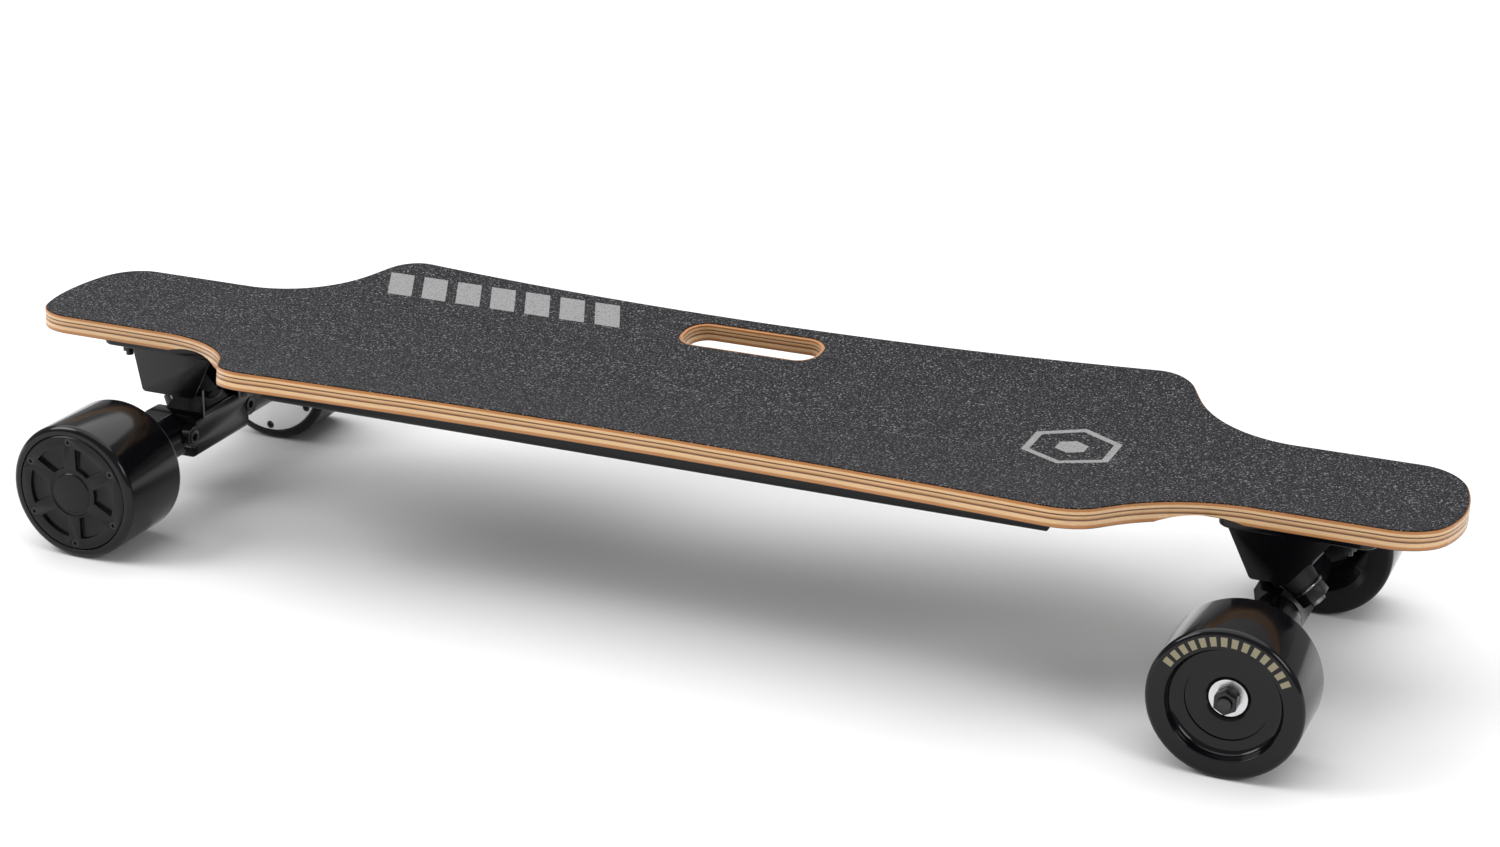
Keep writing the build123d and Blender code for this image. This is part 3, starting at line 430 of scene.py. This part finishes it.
urethane = cast_urethane("urethane")
printed = cast_urethane("printed_urethane")
ahead_of, above = printed.axis("X") - AXLE_X * MM, printed.axis("Z") - AXLE_HEIGHT * MM
from_axle = (ahead_of * ahead_of + above * above).math("POWER", 0.5)
from_top = ahead_of.math("ARCTAN2", above)
ticks = ((from_top + 10) % math.radians(TICK_TURN)) < math.radians(TICK_TURN * 0.6)
band = abs(from_axle - (PRINT_INNER + PRINT_OUTER) / 2 * MM) < (PRINT_OUTER - PRINT_INNER) / 2 * MM
upper = abs(from_top) < math.radians(PRINT_ARC)
outside = abs(printed.axis("Y")) > (FRONT_OUTER - 1) * MM
printed.set("Base Color", printed.blend(ticks * band * upper * outside, (0.003, 0.003, 0.004),
                                        BEIGE))
for side, word in ((1, "left"), (-1, "right")):
    width = FRONT_OUTER - FRONT_INNER
    tyre = lathe(f"front_{word}_tread", [
        (24.0, 15.4, 0), (17.2, 15.4, 0), (17.2, 11.4, 0.5), (29.4, 1.6, 1.0),
        (33.4, 0.1, 0.8), (WHEEL_RADIUS, 0.1, 3.4), (WHEEL_RADIUS, width - 0.1, 3.4),
        (33.4, width - 0.1, 0.8), (32.0, width - 6.3, 4.0), (24.0, width - 7.5, 0)],
        AXLE_X, FRONT_INNER, side)
    printed.cover(tyre)
    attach(tyre, f"front_{word}_wheel")
    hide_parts(f"front_{word}_tyre")

# ---------------------------------------------------------------- hub-motor sleeves
# Thin cast urethane sleeves stretched over the rotor cans, rounded at both lips.

REAR_INNER, REAR_OUTER = 89.3, 148.45
for side, word in ((1, "left"), (-1, "right")):
    width = REAR_OUTER - REAR_INNER
    sleeve = lathe(f"rear_{word}_sleeve", [
        (39.0, 0.4, 0.3), (WHEEL_RADIUS, 0.4, 4.0), (WHEEL_RADIUS, width - 0.4, 4.0),
        (39.0, width - 0.4, 0.3)], -AXLE_X, REAR_INNER, side)
    urethane.cover(sleeve)
    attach(sleeve, f"rear_{word}_wheel")
    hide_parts(f"rear_{word}_tyre")

# ---------------------------------------------------------------- eased CAD pieces
# Castings, covers and mouldings keep their shape; every hard edge gets its small radius.


BODY_OF = {node: body for body, members in frame["record"]["behaviour"]["bodies"].items()
           for node in members}


def eased(name, width, angle=28):
    """Copy of a CAD node with its hard edges rounded, standing for the node."""
    piece = NODES[name].copy()
    piece.data = NODES[name].data.copy()
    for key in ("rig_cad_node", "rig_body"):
        if key in piece:
            del piece[key]
    piece.parent = None
    piece.name = f"{name}_eased"
    bpy.context.scene.collection.objects.link(piece)
    modifier(piece, "WELD", merge_threshold=0.00001)
    modifier(piece, "DECIMATE", decimate_type="DISSOLVE", angle_limit=math.radians(1))
    modifier(piece, "BEVEL", width=width * MM, segments=2, limit_method="ANGLE",
             angle_limit=math.radians(angle), use_clamp_overlap=True)
    smooth(piece, angle + 4)
    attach(piece, BODY_OF[name])
    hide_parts(name)
    return piece


# ---------------------------------------------------------------- castings
# Hangers and baseplates: cast aluminium under glossy black powder coat, corners rounded
# by the mould and by the thickness of the coat.

powder = Finish("powder_coat", base_color=(0.004, 0.004, 0.005), roughness=0.18,
                specular_ior_level=0.3)
powder.bump(powder.noise(700, 2), 0.06, 0.0002)
for name in ("front_hanger", "rear_hanger", "front_baseplate", "rear_baseplate"):
    powder.cover(eased(name, 0.9))

# ---------------------------------------------------------------- motor covers and cores
# Turned outer covers in satin black, plain machined inner covers, and nylon front cores.

anodised = Finish("black_anodised", base_color=(0.004, 0.004, 0.005), roughness=0.24,
                  specular_ior_level=0.22)
anodised.bump(anodised.noise(1200, 2), 0.04, 0.0002)
machined = Finish("machined_aluminium", base_color=(0.74, 0.74, 0.75), metallic=1.0)
machined.set("Roughness", machined.range(machined.noise(90, 3), 0.3, 0.7, 0.32, 0.42))
nylon = Finish("black_nylon", base_color=(0.004, 0.004, 0.005), roughness=0.18,
               specular_ior_level=0.28)
nylon.bump(nylon.noise(400, 2), 0.05, 0.0002)
for word in ("left", "right"):
    anodised.cover(eased(f"rear_{word}_outer_cover", 0.35))
    finish_node(f"rear_{word}_inner_cover", machined)
    nylon.cover(eased(f"front_{word}_core", 0.4))

# ---------------------------------------------------------------- electronics tray
# Moulded tray with a fine texture; its lip, glands and cell holders are the same plastic.

moulded = Finish("moulded_black", base_color=(0.006, 0.006, 0.007), roughness=0.42,
                 specular_ior_level=0.3)
moulded.bump(moulded.noise(1600, 2), 0.2, 0.0003)
moulded.cover(eased("battery_enclosure", 0.8))
for name in ("cell_holders", "charge_socket", "cable_glands"):
    finish_node(name, moulded)

# ---------------------------------------------------------------- fasteners
# Nuts and screw heads with their corners broken: black oxide, or dull zinc on the rest.

oxide = Finish("black_oxide", base_color=(0.03, 0.03, 0.032), metallic=0.7)
oxide.set("Roughness", oxide.range(oxide.noise(250, 3), 0.3, 0.7, 0.24, 0.4))
zinc = Finish("dull_zinc", base_color=(0.26, 0.26, 0.27), metallic=1.0)
zinc.set("Roughness", zinc.range(zinc.noise(200, 3), 0.3, 0.7, 0.22, 0.36))
for name in ("kingpin_nuts", "front_axle_nuts", "truck_nuts", "shaft_clamp_screws"):
    oxide.cover(eased(name, 0.4))
for name in ("kingpins", "bushing_washers"):
    zinc.cover(eased(name, 0.3))
blackened = Finish("blackened_axle", base_color=(0.05, 0.05, 0.052), metallic=1.0)
blackened.set("Roughness", blackened.range(blackened.noise(300, 2), 0.3, 0.7, 0.25, 0.4))
blackened.cover(eased("front_axle", 0.4))

# ---------------------------------------------------------------- everything else
# Pieces whose CAD shape is already right take the finish of their record slot.

satin = Finish("satin_black", base_color=(0.012, 0.012, 0.013), roughness=0.3)
satin.bump(satin.noise(1200, 2), 0.08, 0.0002)
rubber = Finish("rubber", base_color=(0.010, 0.010, 0.010), roughness=0.6)
rubber.bump(rubber.noise(700, 2), 0.1, 0.0003)
ground = Finish("ground_steel", base_color=(0.62, 0.62, 0.63), metallic=1.0)
ground.set("Roughness", ground.range(ground.noise(90, 3), 0.3, 0.7, 0.2, 0.34))
copper = Finish("enamelled_copper", base_color=(0.72, 0.32, 0.16), metallic=1.0)
copper.set("Roughness", copper.range(copper.noise(300, 2), 0.3, 0.7, 0.25, 0.4))
wrap = Finish("cell_wrap", base_color=(0.03, 0.16, 0.42))
wrap.set("Roughness", wrap.range(wrap.noise(120, 2), 0.3, 0.7, 0.3, 0.42))
mask = Finish("solder_mask", base_color=(0.01, 0.12, 0.04))
mask.set("Roughness", mask.range(mask.noise(300, 2), 0.3, 0.7, 0.3, 0.5))

BY_SLOT = {"rubber": rubber, "steel_dark": oxide, "foam": rubber, "cell_wrap": wrap,
           "circuit": mask, "aluminium": machined, "button": satin, "urethane": rubber,
           "steel": zinc, "bearing": ground, "laminate": zinc, "copper": copper,
           "magnet": ground}
FINISHED = {"kingpin_nuts", "front_axle_nuts", "truck_nuts", "shaft_clamp_screws", "kingpins",
            "front_axle", "bushing_washers", "rear_left_inner_cover", "rear_right_inner_cover"}
for row in frame["record"]["subparts"]:
    if row["material_slot"] in BY_SLOT and row["node"] not in FINISHED:
        finish_node(row["node"], BY_SLOT[row["material_slot"]])

# ---------------------------------------------------------------- studio
# Plain pale floor, a wide overcast sun, a softbox at each front corner, and the camera.

bpy.ops.object.select_all(action="DESELECT")
bpy.ops.mesh.primitive_plane_add(size=40, location=(0, 0, 0))
floor = bpy.context.object
floor.name = "floor"
paper = Finish("pale_floor", base_color=(0.90, 0.90, 0.90), roughness=0.85)
paper.cover(floor)

world = bpy.data.worlds.new("studio")
bpy.context.scene.world = world
world.use_nodes = True
world.node_tree.nodes["Background"].inputs["Color"].default_value = (1, 1, 1, 1)
world.node_tree.nodes["Background"].inputs["Strength"].default_value = 0.36


def lamp(name, size, power, place, aim=(0, 0, 0.1)):
    bpy.ops.object.light_add(type="AREA", location=place)
    light = bpy.context.object
    light.name = name
    light.data.shape = "DISK"
    light.data.size = size
    light.data.energy = power
    light.rotation_euler = (Vector(aim) - Vector(place)).to_track_quat("-Z", "Y").to_euler()


lamp("left_softbox", 1.2, 22, (-1.7, -0.9, 1.5))
lamp("nose_softbox", 1.0, 14, (2.0, -1.0, 1.3))

bpy.ops.object.light_add(type="SUN", rotation=(math.radians(-12), math.radians(-10), 0))
overcast = bpy.context.object
overcast.name = "overhead"
overcast.data.energy = 2.4
overcast.data.angle = math.radians(85)

AZIMUTH, ELEVATION, ROLL = math.radians(22.475), math.radians(20.703), math.radians(0.802)
FOCAL_SHARE = 2934.746 / 1500
EYE = Vector((0.687935, -1.586213, 0.754873))
ahead = Vector((-math.sin(AZIMUTH) * math.cos(ELEVATION),
                math.cos(AZIMUTH) * math.cos(ELEVATION), -math.sin(ELEVATION)))
level_right = ahead.cross(Vector((0, 0, 1))).normalized()
level_up = level_right.cross(ahead)
right = math.cos(ROLL) * level_right + math.sin(ROLL) * level_up
up = math.cos(ROLL) * level_up - math.sin(ROLL) * level_right
bpy.ops.object.camera_add(location=EYE)
camera = bpy.context.object
camera.rotation_euler = Matrix((right, up, -ahead)).transposed().to_euler()
camera.data.sensor_width = 36
camera.data.lens = 36 * FOCAL_SHARE
camera.data.clip_end = 60
bpy.context.scene.camera = camera
bpy.context.scene.view_settings.view_transform = "Standard"
